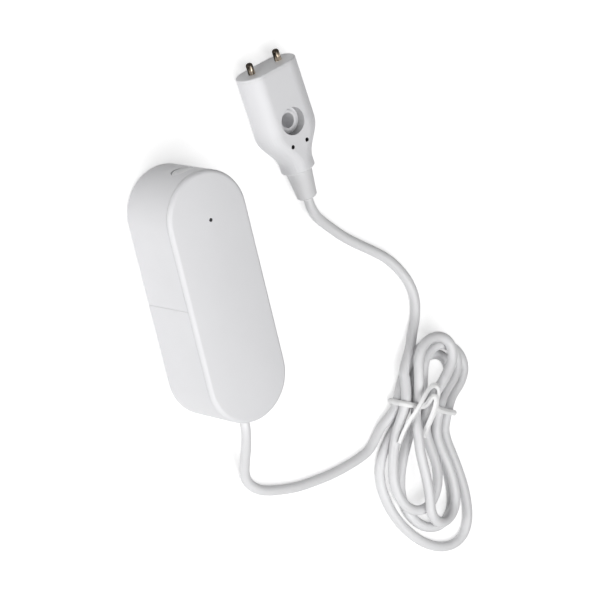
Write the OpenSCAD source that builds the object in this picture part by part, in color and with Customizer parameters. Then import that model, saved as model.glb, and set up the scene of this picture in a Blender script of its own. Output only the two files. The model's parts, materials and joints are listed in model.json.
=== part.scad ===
// Water leak sensor: a battery case, and a wired probe on a cord that is folded into a hank.
// The case lies on its back at Z = 0, with its front up and its top end towards +Y.
// The origin is the middle of the case's back face.

/* [Case] */
// Length of the case, end to end
case_l = 85; // [80:0.5:110]
// Width of the case
case_w = 30.5; // [29.5:0.5:40]
// Thickness of the back, side and end walls
wall = 1.8; // [1.4:0.1:2.2]
// Thickness of the front panel at its edge
front_t = 1.4; // [1.2:0.1:2.4]
// Rise of the front panel's crown
crown = 0.8; // [0.4:0.1:1.6]
// Fillet round the front panel
front_fillet = 1.5; // [0.8:0.1:1.6]
// Fillet round the back
rear_fillet = 2; // [1:0.1:3]
// Gap under the front panel's rim
seam_gap = 0.15; // [0.05:0.05:0.3]
// Place of the split between the two rear shells
split_y = 0.5; // [-4:0.5:4]
// Gap at the split
split_gap = 0.1; // [0.1:0.05:0.4]

/* [Skirt, rails and lips] */
// Height of the skirt under the front panel
skirt_h = 4.3; // [3.8:0.1:5]
// Thickness of the skirt
skirt_t = 1.8; // [1.5:0.1:2.2]
// Gap between the skirt or lips and the shell that slides over them
skirt_gap = 0.2; // [0.1:0.05:0.3]
// Drop from the seam to the middle of the battery cover's rails
rail_drop = 2.6; // [2:0.1:3]
// Thickness of a rail
rail_t = 1; // [0.8:0.1:1.2]
// Reach of a rail inwards from its wall
rail_out = 0.9; // [0.6:0.1:1.2]
// Length of a rail
rail_l = 24; // [12:1:26]
// Distance of a rail from the split
rail_start = 2; // [1.5:0.5:4]
// Gap round a rail in its groove
rail_clear = 0.2; // [0.1:0.05:0.3]
// Reach of the lower shell's side lips past the split
lip_out = 1.6; // [1:0.1:3]
// Length of a lip's root behind the split
lip_root = 3; // [2:0.5:6]
// Thickness of a side lip
lip_t = 1; // [0.8:0.1:1.2]
// Height of a side lip above the inside of the back
lip_rise = 1.2; // [0.5:0.1:4]

/* [Battery] */
// Diameter of the cell
cell_d = 17; // [15:0.1:18]
// Length of the cell over its button
cell_l = 34.5; // [30:0.5:37]
// Diameter of the cell's button
cell_tip_d = 6.4; // [5:0.1:8]
// Height of the cell's button
cell_tip_h = 1.2; // [0.8:0.1:1.6]
// Gap between the cell and its trough
cell_clear = 0.2; // [0.1:0.05:0.4]
// Gap between the cell and the inside of the back
floor_gap = 0.6; // [0.4:0.1:1]
// Thickness of the trough's roof
trough_roof = 1.2; // [0.8:0.1:1.6]
// Thickness of the trough's sides at the cell's axis
trough_side = 1.3; // [1:0.1:1.6]
// Thickness of the trough's end walls
trough_end = 1.2; // [1:0.1:1.6]
// Width of the end walls below the cell's axis
end_wall_w = 14; // [12:0.5:16]
// Depth of the end walls below the cell's axis
end_wall_drop = 6.9; // [5:0.1:7.2]
// Length of the finger notches in the trough's sides
notch_l = 12; // [8:0.5:16]
// Height of the finger notches
notch_h = 3.5; // [2:0.1:5]
// Thickness of the positive contact
contact_t = 0.4; // [0.3:0.05:0.5]
// Width of the positive contact
contact_w = 8; // [6:0.5:10]
// Width of the positive contact's tail
tail_w = 3; // [2:0.5:4]
// Gap between the cell and a contact
contact_gap = 0.05; // [0.02:0.01:0.1]
// Length of the negative spring
spring_l = 4; // [3.6:0.1:5]
// Wire of the negative spring
spring_wire = 0.6; // [0.4:0.05:0.7]
// Wide radius of the negative spring
spring_r = 5; // [4.5:0.1:6]
// Narrow radius of the negative spring
spring_tip_r = 2.8; // [2:0.1:3]
// Turns of the negative spring
spring_turns = 3.5; // [2.5:0.5:3.5]

/* [Circuit board] */
// Thickness of the circuit board
board_t = 1.6; // [1:0.1:2]
// Gap between the board and the front panel
board_gap = 1.2; // [1:0.1:2]
// Gap between the board and the skirt
board_clear = 0.25; // [0.15:0.05:0.5]
// Diameter of the posts that carry the board and the trough
post_d = 4; // [3.6:0.1:4.4]
// Diameter of the pads that the board rests on
pad_d = 6; // [5.5:0.1:6.4]
// Width of board left outside its holes
board_rim = 1.4; // [1:0.1:1.6]
// Gap between a post or boss and its hole in the board
post_clear = 0.2; // [0.1:0.05:0.3]
// Diameter of the trough's locating peg
peg_d = 2; // [1.6:0.1:2.4]
// Distance of the peg from the trough's top end
peg_in = 2.8; // [2:0.1:6]
// Diameter of the trough's ears
ear_d = 4.8; // [4.4:0.1:5]
// Thickness of the trough's ears
ear_t = 2; // [1.6:0.1:2.4]
// Gap between the radio module and the trough's ears
radio_gap = 0.8; // [0.4:0.1:1.4]
// Length of the radio module
radio_l = 8; // [6:0.5:10]
// Height of the radio module
radio_h = 2.6; // [2:0.1:3]
// Gap between neighbours on and under the board
part_gap = 0.6; // [0.3:0.1:1]
// Gap between the wire header and the case screws' bosses
header_gap = 0.9; // [0.5:0.1:1.6]
// Length of the wire header
header_l = 5; // [4:0.1:6]
// Height of the wire header
header_h = 4.6; // [4:0.1:4.7]
// Thickness of the header's walls
header_wall = 1; // [0.8:0.1:1.2]

/* [Status light] */
// Distance of the status light from the top end
led_in = 16; // [15.5:0.1:20]
// Diameter of the light pipe
lens_d = 1.2; // [1:0.1:2]
// Diameter of the light pipe's flange
lens_flange_d = 2.8; // [2.4:0.1:3.6]
// Thickness of the light pipe's flange
lens_flange_t = 0.4; // [0.3:0.05:0.5]
// Gap round the light pipe
lens_clear = 0.05; // [0.03:0.01:0.1]
// Depth of the light pipe's end below the front
lens_sink = 0.1; // [0.05:0.05:0.3]
// Length of the light emitter
led_l = 1.6; // [1:0.1:2]
// Width of the light emitter
led_w = 0.8; // [0.5:0.1:1]
// Height of the light emitter
led_h = 0.5; // [0.3:0.05:0.6]

/* [Pairing button] */
// Width of the button
button_w = 7.4; // [6.5:0.1:8.5]
// Height of the button
button_h = 5.8; // [5:0.1:6.4]
// Gap round the button
button_clear = 0.2; // [0.2:0.05:0.4]
// Depth of the button's face below the end wall
button_sink = 0.25; // [0.1:0.05:0.4]
// Depth of the finger dish in the button
button_dish = 0.3; // [0.1:0.05:0.4]
// Radius of the finger dish
button_dish_r = 10; // [8:0.5:14]
// Reach of the button's flange past its hole
button_rim = 0.9; // [0.6:0.1:1]
// Thickness of the button's flange
button_flange_t = 0.8; // [0.6:0.1:1]
// Gap between the flange and the end wall
button_seat = 0.15; // [0.1:0.05:0.3]
// Drop from the board to the button's axis
button_drop = 4.5; // [4.2:0.1:5]
// Room beside the flange where the skirt is cut away
skirt_notch_gap = 1.5; // [1:0.1:2]
// Travel of the button
button_travel = 0.5; // [0.3:0.05:0.6]
// Diameter of the switch's plunger
plunger_d = 2.4; // [2:0.1:3]
// Gap between the plunger and the button
plunger_gap = 0.1; // [0.05:0.05:0.2]
// Gap round the plunger in the switch
plunger_clear = 0.2; // [0.1:0.05:0.3]
// Reach of the plunger out of the switch
plunger_out = 1.2; // [1:0.1:1.6]
// Reach of the plunger into the switch
plunger_in = 0.7; // [0.5:0.1:1]
// Width of the switch
switch_w = 6; // [5:0.1:6.4]
// Depth of the switch
switch_depth = 3.4; // [3:0.1:4]
// Reach of the switch below the plunger's axis
switch_below = 2.6; // [2:0.1:3]
// Gap between the switch and the trough
switch_gap = 0.3; // [0.2:0.1:0.6]

/* [Case screws] */
// Distance of the case screws from the lower end
boss_in = 20.5; // [18:0.5:21]
// Diameter of the front panel's bosses
boss_d = 4.8; // [4.4:0.1:5]
// Diameter of the lower shell's bosses
rear_boss_d = 6.4; // [6:0.1:6.8]
// Height of the lower shell's bosses
boss_meet = 16; // [14:0.5:16]
// Diameter of the screw heads' wells
well_d = 4.6; // [4.4:0.1:5]
// Depth of the screw heads' wells
well_h = 10; // [8:0.5:11]
// Diameter of a case screw
case_screw_d = 2.2; // [2:0.1:2.4]
// Length of a case screw below its head
case_screw_l = 10; // [8:0.5:11]
// Diameter of a small screw
small_screw_d = 2; // [1.6:0.1:2.2]
// Diameter of the screw heads
screw_head_d = 3.8; // [3.4:0.1:4.2]
// Height of the screw heads
screw_head_h = 1.2; // [1:0.1:1.4]
// Gap round a screw in the piece that it cuts into
thread_gap = 0.04; // [0.02:0.01:0.08]
// Gap round a screw in the piece that it passes through
screw_gap = 0.2; // [0.1:0.05:0.3]
// Length of a trough screw below its head
holder_screw_l = 4; // [3.5:0.1:4.4]

/* [Cord entry] */
// Diameter of the cord
cord_d = 3.2; // [2.6:0.1:3.4]
// Gap round the cord where it is held
cord_clear = 0.1; // [0.05:0.05:0.2]
// Drop from the board to the cord's axis in the case
cord_drop = 4.8; // [4.6:0.1:6]
// Wall of the grommet round the cord
grommet_wall = 0.9; // [0.7:0.1:1.1]
// Reach of the grommet's flanges
grommet_rim = 0.5; // [0.4:0.1:0.6]
// Thickness of the grommet's flanges
grommet_flange_t = 0.8; // [0.6:0.1:1]
// Gap round the grommet
grommet_clear = 0.1; // [0.05:0.05:0.15]
// Depth of the flat that the grommet sits in
spot_depth = 0.5; // [0.4:0.05:0.7]
// Distance of the cord clamp from the lower end
clamp_in = 7.1; // [6.6:0.1:8]
// Length of the clamp along the cord
clamp_l = 4; // [3.6:0.1:5]
// Spacing of the clamp's screws
clamp_pitch = 9.2; // [8.8:0.1:9.6]
// Thickness of the clamp's bar
clamp_t = 1.9; // [1.7:0.1:2.2]
// Margin of the clamp beyond its screws
clamp_margin = 2; // [1.6:0.1:2.4]
// Gap between the clamp and its rib
clamp_gap = 0.2; // [0.1:0.1:0.4]
// Length of a clamp screw below its head
clamp_screw_l = 7; // [6:0.5:8]
// Reach of the cord past the clamp
cord_stub = 0.3; // [0.1:0.1:1]
// Diameter of one core of the cord
core_d = 1; // [0.8:0.05:1.1]
// Spacing of the cores in the cord
core_pitch = 1.5; // [1.3:0.1:1.6]
// Spacing of the cores at the header
header_pitch = 2.5; // [2:0.1:3]
// Drop from the board to the cores at the header
header_core_drop = 2.8; // [2:0.1:3]

/* [Probe] */
// Width of the probe
probe_w = 22.5; // [20:0.5:28]
// Thickness of the probe
probe_t = 12; // [12:0.1:14]
// Wall of the probe
probe_wall = 1.4; // [1.2:0.1:1.8]
// Distance from the screw hole to the pin end
probe_front = 18.8; // [18:0.1:24]
// Distance from the screw hole to the shoulders
probe_shoulder = 3; // [2:0.1:4]
// Distance from the screw hole to where the neck is round
probe_waist = 15; // [13:0.1:16]
// Distance from the screw hole to the neck's end
probe_neck = 17.7; // [17:0.1:20]
// Diameter of the neck
neck_d = 11.5; // [11:0.1:12]
// Rounding of the neck's end
neck_round = 0.4; // [0.2:0.1:0.8]
// Diameter of the screw hole
screw_hole_d = 5; // [4.5:0.1:5.4]
// Diameter of the screw head's counterbore
counterbore_d = 9.2; // [8.5:0.1:9.6]
// Depth of the counterbore
counterbore_h = 3.5; // [3:0.1:4]
// Width of the raised ring round the screw hole
ring_w = 0.9; // [0.6:0.1:1.2]
// Height of the raised ring
ring_h = 0.5; // [0.3:0.1:0.8]
// Wall of the screw boss round the counterbore
screw_boss_wall = 1.2; // [1:0.1:1.4]
// Diameter of the two small holes
peep_d = 1.4; // [1:0.1:1.8]
// Spacing of the two small holes
peep_pitch = 6; // [5:0.1:7]
// Distance of the two small holes behind the screw hole
peep_back = 8; // [7.6:0.1:8.4]
// Depth of the two small holes
peep_h = 1.8; // [1:0.1:1.8]
// Thickness of the end cap
cap_t = 1; // [0.8:0.1:1.4]
// Rounding of the end cap's edge
cap_round = 0.5; // [0.3:0.1:0.7]
// Length of the end cap's plug
cap_plug = 2; // [1.5:0.1:2.4]
// Gap round the end cap's plug
cap_clear = 0.1; // [0.05:0.05:0.2]
// Diameter of a pin
pin_d = 2.4; // [2:0.1:2.8]
// Spacing of the pins
pin_pitch = 11.25; // [10:0.05:12]
// Reach of a pin past the end cap
pin_out = 3.9; // [2.5:0.1:5]
// Rounding of a pin's tip
pin_round = 1; // [0.5:0.1:1]
// Reach of a pin behind the end cap's face
pin_in = 7.8; // [7:0.1:8.5]
// Diameter of a pin's collar
pin_collar_d = 3.4; // [3:0.1:3.8]
// Thickness of a pin's collar
pin_collar_t = 0.8; // [0.6:0.1:1]
// Gap round a pin in the end cap
pin_clear = 0.03; // [0.02:0.01:0.06]
// Width of the probe's board
probe_board_w = 16; // [14:0.5:17]
// Length of the probe's board
probe_board_l = 6.4; // [5:0.1:7]
// Thickness of the probe's board
probe_board_t = 1.2; // [0.8:0.1:1.4]
// Gap between the board and its neighbours
probe_board_gap = 0.2; // [0.1:0.05:0.4]
// Diameter of the strain relief's plug
relief_plug_d = 6.4; // [6:0.1:7]
// Length of the strain relief's plug
relief_plug_l = 6.2; // [5:0.1:7]
// Gap round the strain relief's plug
relief_clear = 0.1; // [0.05:0.05:0.2]
// Length of the strain relief outside the neck
relief_l = 10.2; // [8:0.1:14]
// Diameter of the strain relief at the neck
relief_d = 8.9; // [8:0.1:10]
// Diameter of the strain relief at its tip
relief_tip_d = 6.8; // [6:0.1:7.5]
// Rounding of the strain relief's tip
relief_round = 0.6; // [0.4:0.1:0.8]

/* [Probe place] */
// Place of the probe's screw hole across the case
probe_x = 48.5; // [44:0.5:60]
// Place of the probe's screw hole along the case
probe_y = 41.6; // [36:0.1:50]
// Turn of the probe
probe_turn = 5.3; // [0:0.1:12]

/* [Hidden] */
$fn = 64;

// Cuts run past the faces they open by this much
past = 1;
// Joined solids sink into each other by this much
fuse = 0.3;
sides = [-1, 1];

// Plan of the case
run = case_l - case_w;
arc_y = run / 2;
end_y = -case_l / 2;
inner_r = case_w / 2 - wall;
skirt_r = inner_r - skirt_gap;
board_w = 2 * (skirt_r - skirt_t - board_clear);

// Heights, stacked from the back to the front
cell_z = wall + floor_gap + cell_d / 2;
trough_r = cell_d / 2 + cell_clear;
board_z = cell_z + trough_r + trough_roof;
board_top = board_z + board_t;
seam_z = board_top + board_gap;
case_d = seam_z + front_t;
skirt_z = seam_z - skirt_h;
cord_z = board_z - cord_drop;
button_z = board_z - button_drop;

// Front panel's section: a crown arc with a fillet that is tangent to it and to the side
crown_r = (pow(case_w / 2, 2) + pow(crown, 2)) / (2 * crown);
crown_z = case_d + crown - crown_r;
fillet_x = case_w / 2 - front_fillet;
fillet_z = crown_z + sqrt(pow(crown_r - front_fillet, 2) - pow(fillet_x, 2));
tangent_x = fillet_x * crown_r / (crown_r - front_fillet);

// Chain from the end wall inwards: button, plunger, switch, trough, cell, spring
flange_w = button_w + 2 * (button_clear + button_rim);
flange_h = button_h + 2 * (button_clear + button_rim);
flange_y1 = arc_y + sqrt(pow(inner_r, 2) - pow(flange_w / 2, 2)) - button_seat;
flange_y0 = flange_y1 - button_flange_t;
plunger_y1 = flange_y0 - plunger_gap;
switch_y1 = plunger_y1 - plunger_out;
switch_y0 = switch_y1 - switch_depth;
holder_y1 = switch_y0 - switch_gap;
contact_y = holder_y1 - trough_end - contact_t;
cell_y1 = contact_y - contact_gap;
cell_y0 = cell_y1 - cell_l;
spring_y0 = cell_y0 - contact_gap - spring_l;
holder_y0 = spring_y0 - trough_end;
holder_w = 2 * (trough_r + trough_side);
led_y = case_l / 2 - led_in;
ear_y = holder_y0 - ear_d / 2;
post_x = board_w / 2 - board_rim - post_clear - post_d / 2;
boss_x = board_w / 2 - board_rim - post_clear - boss_d / 2;
radio_w = 2 * (post_x - ear_d / 2 - radio_gap);
header_w = 2 * (boss_x - boss_d / 2 - header_gap);
radio_y = holder_y0 - part_gap - radio_l;
header_y = radio_y - part_gap - header_l;

// Places of the screws, from the lower end
boss_y = end_y + boss_in;
clamp_y = end_y + clamp_in;
clamp_w = clamp_pitch + 2 * clamp_margin;
cord_in_y = clamp_y + clamp_l / 2 + cord_stub;
cord_bore_r = cord_d / 2 + cord_clear;

// Grommet seats: a flat cut in the outside of the end wall, and the curved inside
grommet_r = cord_bore_r + grommet_wall;
grommet_flange_r = grommet_r + grommet_rim;
spot_y = end_y + spot_depth;
grommet_in_y = -arc_y - sqrt(pow(inner_r, 2) - pow(grommet_flange_r, 2)) + grommet_clear;

// Probe, in its own frame: the screw hole at the origin and the pins towards +Y
probe_z = probe_t / 2;
cap_y = probe_front - cap_t;
collar_y = cap_y - cap_plug - pin_collar_t;
probe_cavity_w = probe_w - 2 * probe_wall;
probe_cavity_t = probe_t - 2 * probe_wall;
screw_boss_r = counterbore_d / 2 + screw_boss_wall;
counterbore_z = probe_t - counterbore_h;
probe_board_z = probe_z - pin_d / 2 - probe_board_gap - probe_board_t;
probe_board_y = collar_y - 2 * probe_board_gap - probe_board_l;
relief_bore_r = relief_plug_d / 2 + relief_clear;
relief_top = -probe_neck - relief_clear;
relief_tip = relief_top - relief_l;
relief_in = relief_top + relief_plug_l;
// The narrow part of the cavity, where the cores spread round the screw boss
throat_w = 14;
throat_t = 7.2;
throat_y0 = -8.6;
throat_y1 = -4.6;
// Points round each ring of the probe's shoulders, and their step in from the straight part
shoulder_points = 40;
loft_in = 0.04;
// Corner radius of the probe's board
board_corner = 1;

// Free cord, from the case to the hank
body_route = [
    [0, -44, 16], [0, -46.4, 15.9], [0.2, -50, 14.6], [0.8, -54, 12], [1.6, -58, 8.9], [2.5, -62, 5.8],
    [3.3, -65.6, 3.2], [4.2, -69, 1.9], [6, -72, 1.6], [9, -74.6, 1.6], [13, -76.4, 1.6], [18, -78, 1.6],
    [24, -79.4, 1.6], [31, -80.2, 1.6], [38, -80.6, 1.6], [44.4, -80.4, 1.6], [50.2, -79.8, 1.6],
    [55, -78.3, 1.6]
];
// Free cord, from the probe to the hank, which it leaves over the lower loops
probe_route = [
    [51.4, 10.6, 5.9], [52.6, 7.8, 5.1], [54.4, 5.2, 4], [56.8, 2.6, 2.8], [59.8, -0.6, 1.9], [64, -5.2, 1.6],
    [69, -9.8, 1.6], [74, -14, 1.6], [79, -18.6, 1.6], [83, -24, 1.6], [85.8, -30, 1.6], [86.7, -36.2, 1.6],
    [85.2, -42, 1.7], [82.1, -46.6, 2.5], [78.6, -50.8, 3.9]
];
cord_sides = 8;

// Hank of folded cord. In its plan the tied waist lies along X, and the cord goes up it on the left and down
// on the right. Ends of folds are [X, Y, layer], and crossings of the waist are [X, layer].
hank_place = [76.6, -72];
hank_turn = -12;
// Folds above the waist and below it: left end, right end and depth beyond them
hank_tops = [
    [[-10.6, 11.5, 0], [13.6, 15, 0], 9.8],
    [[-6.4, 10.5, 0], [8.2, 11.5, 0], 7.8],
    [[-7.2, 15, 1], [7.2, 15, 1], 7.5],
    [[-13.2, 16, 2], [1, 16.5, 2], 7.2]
];
hank_lows = [
    [[-16.5, -20.5, 0], [20.4, -40.5, 0], 17.6],
    [[-8, -27, 0], [13.9, -34, 0], 12],
    [[-1.2, -33.2, 2], [12.6, -33.2, 1], 7],
    [[-13.5, -20.5, 1], [5.4, -24, 1], 12.5]
];
hank_ups = [[-11.8, 0], [-7.7, 0], [-2, 0], [-6.3, 1], [-11.2, 1]];
hank_downs = [[10.6, 0], [6, 0], [3.8, 1], [-1.2, 1]];
// Where the hank's first run comes from and its last one heads for, and the share of them that it includes
hank_entry = [-17, -10.5, 0];
hank_exit = [-14.4, 13, 0.97];
hank_ends = 0.5;
// Height of a layer, lift of the tied waist and the length along the hank in which the cord leaves it
hank_layer = 3.7;
waist_lift = 1.5;
hank_rise = 10;
// The hank's axis curves to the right between these two heights
hank_bend = 30;
hank_bend_y0 = -18;
hank_bend_y1 = 12;
// Points on a short run of the hank, for its solid and for the measure of its gap to itself
hank_points = 3;
gap_points = 10;
// Points of that measure that count as neighbours
gap_skip = 14;
hank_sides = 6;

// Wire tie round the waist, in the hank's own plan: a tail, an arch, the ring and the other tail
tie_d = 1.4;
tie_sides = 6;
tie_route = [
    [-12.7, -11, 8.2], [-11.6, -7.5, 9], [-10.4, -4, 10.2], [-9.2, -0.6, 11.6], [-8, 3, 12],
    [-6.5, 6, 11.8], [-4.4, 7.5, 11.6], [-2.2, 6.8, 11.3], [-1, 4.6, 10.8], [-0.5, 2.2, 10.2],
    [0.8, 0.6, 9.6], [3.8, 0.1, 9.4], [7.2, 0, 8.3], [10.4, 0, 6.5], [12.7, 0, 5], [13.3, 0, 3.1],
    [12.7, 0, 1.15], [9.8, 0, 0.74], [3, 0, 0.74], [-4, 0, 0.74], [-10.8, 0, 0.74], [-13.6, 0, 1.15],
    [-14.4, 0, 3.3], [-14.3, 0, 6.6], [-13.4, 0, 8.6], [-10.8, 0, 9.4], [-8, 0, 9.4], [-5.6, 0.3, 9.6],
    [-4.4, 1.6, 10.2], [-4.1, 3.2, 10.9], [-3.2, 4.2, 11.4], [-2.3, 3.4, 11.7], [-2, 1.6, 11.7],
    [-1.9, -1, 11.2], [-2, -4, 10.2], [-2.3, -7, 9.1], [-2.6, -9.6, 8.2]
];

// Colours
shell_white = [0.92, 0.92, 0.93];
cord_white = [0.86, 0.86, 0.87];
tie_white = [0.95, 0.95, 0.95];
board_green = [0.1, 0.38, 0.22];
black = [0.12, 0.12, 0.13];
steel = [0.72, 0.73, 0.75];
gold = [0.78, 0.6, 0.28];
copper = [0.72, 0.45, 0.3];

// Curve helpers

function unit(v) = v / norm(v);

// Rises from 0 to 1 with level ends
function smooth(v) = (1 - cos(180 * min(max(v, 0), 1))) / 2;

function tangents(path) =
    let (last = len(path) - 1)
    [for (i = [0 : last]) unit(path[min(i + 1, last)] - path[max(i - 1, 0)])];

function across(v) = unit(cross(v, abs(v.z) < 0.9 ? [0, 0, 1] : [1, 0, 0]));

// Carries one crosswise direction along a path with the least turning
function carried(along) =
    [for (i = 0, n = across(along[0]);
        i < len(along);
        i = i + 1, n = i < len(along) ? unit(n - (n * along[i]) * along[i]) : n) n];

// Rings of points round a path, one at each of its points
function tube_rings(path, radius, count) =
    let (along = tangents(path), n = carried(along))
    [for (i = [0 : len(path) - 1])
        [for (k = [0 : count - 1])
            let (a = 360 * k / count)
            path[i] + radius * (cos(a) * n[i] + sin(a) * cross(along[i], n[i]))]];

// Least distance between two stretches of a path that aren't neighbours
function least_distance(path, skip) =
    min([for (i = [0 : len(path) - 1 - skip], j = [i + skip : len(path) - 1]) norm(path[i] - path[j])]);

// Closed solid with triangle faces through rings of equally many points
module skin(rings) {
    count = len(rings[0]);
    last = (len(rings) - 1) * count;
    walls = [for (i = [0 : len(rings) - 2], k = [0 : count - 1])
        let (a = i * count + k, b = i * count + (k + 1) % count)
        each [[a, b + count, b], [a, a + count, b + count]]];
    first_cap = [for (k = [1 : count - 2]) [0, k, k + 1]];
    last_cap = [for (k = [1 : count - 2]) [last, last + k + 1, last + k]];
    polyhedron([for (ring = rings) each ring], concat(walls, first_cap, last_cap));
}

module tube(path, diameter, count) {
    skin(tube_rings(path, diameter / 2, count));
}

// Shape helpers

// Outline of a stadium whose straight run lies along Y
module stadium(width, straight) {
    square([width, straight], center = true);
    for (s = sides)
        translate([0, s * straight / 2])
            circle(d = width);
}

// Half profile carried round a stadium: out along X, height along Y
module stadium_sweep(straight) {
    for (end = [0, 180])
        rotate([0, 0, end])
            translate([0, straight / 2, 0])
                rotate_extrude(angle = 180)
                    children();
    rotate([90, 0, 0])
        linear_extrude(height = straight, center = true) {
            children();
            mirror([1, 0, 0])
                children();
        }
}

// Solid along +Y from a profile drawn in X and Z
module along_y(y0, y1) {
    translate([0, y1, 0])
        rotate([90, 0, 0])
            linear_extrude(height = y1 - y0)
                children();
}

// Round bar along +Y
module rod(y0, y1, radius) {
    translate([0, y0, 0])
        rotate([-90, 0, 0])
            cylinder(h = y1 - y0, r = radius);
}

// Profile turned about the Y axis: out along X, along the axis as Y
module turned_y() {
    rotate([-90, 0, 0])
        rotate_extrude()
            children();
}

module oval(width, height) {
    rotate(90)
        stadium(height, width - height);
}

module rounded(width, height, radius) {
    square([width - 2 * radius, height], center = true);
    square([width, height - 2 * radius], center = true);
    for (x = sides, y = sides)
        translate([x * (width / 2 - radius), y * (height / 2 - radius)])
            circle(r = radius);
}

// Pan-head screw: its head's seat at Z = 0, its shank upwards
module pan_screw(diameter, length) {
    cylinder(h = length, d = diameter);
    translate([0, 0, -screw_head_h / 2])
        cylinder(h = screw_head_h / 2, d = screw_head_d);
    translate([0, 0, -screw_head_h])
        cylinder(h = screw_head_h / 2, d1 = screw_head_d - screw_head_h, d2 = screw_head_d);
}

// Case

module front_profile() {
    intersection() {
        union() {
            square([case_w / 2, fillet_z]);
            translate([fillet_x, fillet_z])
                circle(r = front_fillet);
            intersection() {
                translate([0, crown_z])
                    circle(r = crown_r, $fn = 720);
                square([tangent_x, case_d + crown]);
            }
        }
        translate([0, seam_z])
            square([case_w, case_d]);
    }
}

module rear_profile() {
    translate([0, rear_fillet])
        square([case_w / 2, seam_z - seam_gap - rear_fillet]);
    square([case_w / 2 - rear_fillet, seam_z / 2]);
    translate([case_w / 2 - rear_fillet, rear_fillet])
        circle(r = rear_fillet);
}

module rear_shell() {
    difference() {
        stadium_sweep(run)
            rear_profile();
        translate([0, 0, wall])
            linear_extrude(height = case_d)
                stadium(2 * inner_r, run);
    }
}

// Everything on one side of the split, less half its gap
module split_half(side) {
    translate([0, split_y + side * (case_l + split_gap / 2), 0])
        cube([2 * case_w, 2 * case_l, 4 * case_d], center = true);
}

module at_posts() {
    for (s = sides)
        translate([s * post_x, ear_y, 0])
            children();
}

module at_bosses() {
    for (s = sides)
        translate([s * boss_x, boss_y, 0])
            children();
}

module at_clamp_screws() {
    for (s = sides)
        translate([s * clamp_pitch / 2, clamp_y, 0])
            children();
}

module button_place() {
    translate([0, 0, button_z])
        children();
}

module cord_place() {
    translate([0, 0, cord_z])
        children();
}

module front_cover() {
    groove_x = inner_r - rail_out - rail_clear;
    groove_t = rail_t + 2 * rail_clear;
    groove_y = split_y + rail_start - rail_clear;
    notch_w = flange_w + 2 * skirt_notch_gap;
    color(shell_white)
    difference() {
        union() {
            stadium_sweep(run)
                front_profile();
            translate([0, 0, skirt_z])
                linear_extrude(height = skirt_h + fuse)
                    difference() {
                        stadium(2 * skirt_r, run);
                        stadium(2 * (skirt_r - skirt_t), run);
                    }
            at_posts() {
                translate([0, 0, board_z])
                    cylinder(h = seam_z - board_z + fuse, d = post_d);
                translate([0, 0, board_top])
                    cylinder(h = board_gap + fuse, d = pad_d);
            }
            for (s = sides)
                translate([s * post_x, arc_y, board_top])
                    cylinder(h = board_gap + fuse, d = post_d);
            at_bosses()
                translate([0, 0, boss_meet])
                    cylinder(h = seam_z - boss_meet + fuse, d = boss_d);
        }
        for (s = sides)
            translate([s * (groove_x + case_w / 2), groove_y + case_l / 4, seam_z - rail_drop])
                cube([case_w, case_l / 2, groove_t], center = true);
        translate([-notch_w / 2, arc_y, skirt_z - past])
            cube([notch_w, case_w, skirt_h + past]);
        translate([0, led_y, seam_z - past])
            cylinder(h = 2 * case_d, d = lens_d + 2 * lens_clear);
        at_posts()
            translate([0, 0, board_z - past])
                cylinder(h = holder_screw_l - ear_t + 2 * past - fuse, d = small_screw_d + 2 * thread_gap);
        at_bosses()
            translate([0, 0, boss_meet - past])
                cylinder(h = well_h + case_screw_l - boss_meet + 2 * past, d = case_screw_d + 2 * thread_gap);
    }
}

module battery_cover() {
    color(shell_white)
    difference() {
        union() {
            intersection() {
                rear_shell();
                split_half(1);
            }
            for (s = sides)
                translate([s * (inner_r - rail_out / 2 + fuse / 2), split_y + rail_start + rail_l / 2,
                    seam_z - rail_drop])
                    cube([rail_out + fuse, rail_l, rail_t], center = true);
        }
        button_place()
            along_y(arc_y, case_l)
                oval(button_w + 2 * button_clear, button_h + 2 * button_clear);
    }
}

module lower_housing() {
    lip_z = wall + lip_rise;
    lip_h = skirt_z - 2 * skirt_gap - lip_z;
    lip_x = inner_r - skirt_gap - lip_t;
    lip_end = split_y - split_gap / 2;
    rib_h = cord_z - clamp_gap / 2;
    color(shell_white)
    difference() {
        union() {
            intersection() {
                rear_shell();
                split_half(-1);
            }
            for (s = [0, 1])
                mirror([s, 0, 0]) {
                    translate([lip_x, lip_end - lip_root, lip_z])
                        cube([lip_t + skirt_gap + fuse, lip_root, lip_h]);
                    translate([lip_x, lip_end - lip_root, lip_z])
                        cube([lip_t, lip_root + lip_out, lip_h]);
                }
            at_bosses()
                translate([0, 0, wall - fuse])
                    cylinder(h = boss_meet - wall + fuse, d = rear_boss_d);
            translate([0, clamp_y, wall - fuse])
                linear_extrude(height = rib_h - wall + fuse)
                    rounded(clamp_w, clamp_l, clamp_margin / 2);
        }
        at_bosses() {
            translate([0, 0, -past])
                cylinder(h = well_h + past, d = well_d);
            cylinder(h = boss_meet + past, d = case_screw_d + 2 * screw_gap);
        }
        at_clamp_screws()
            translate([0, 0, cord_z + clamp_gap / 2 + clamp_t - clamp_screw_l - past])
                cylinder(h = case_d, d = small_screw_d + 2 * thread_gap);
        cord_place() {
            rod(end_y - past, cord_in_y, cord_bore_r);
            rod(end_y - past, -arc_y, grommet_r + grommet_clear);
            rod(end_y - past, spot_y, grommet_flange_r + grommet_clear);
        }
    }
}

module pairing_button() {
    dish_y = case_l / 2 - button_sink - button_dish;
    color(shell_white)
    button_place() {
        difference() {
            intersection() {
                along_y(flange_y0, case_l)
                    oval(button_w, button_h);
                linear_extrude(height = case_d, center = true)
                    stadium(case_w - 2 * button_sink, run);
            }
            translate([0, dish_y + button_dish_r, 0])
                sphere(r = button_dish_r);
        }
        along_y(flange_y0, flange_y1)
            oval(flange_w, flange_h);
    }
}

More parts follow.
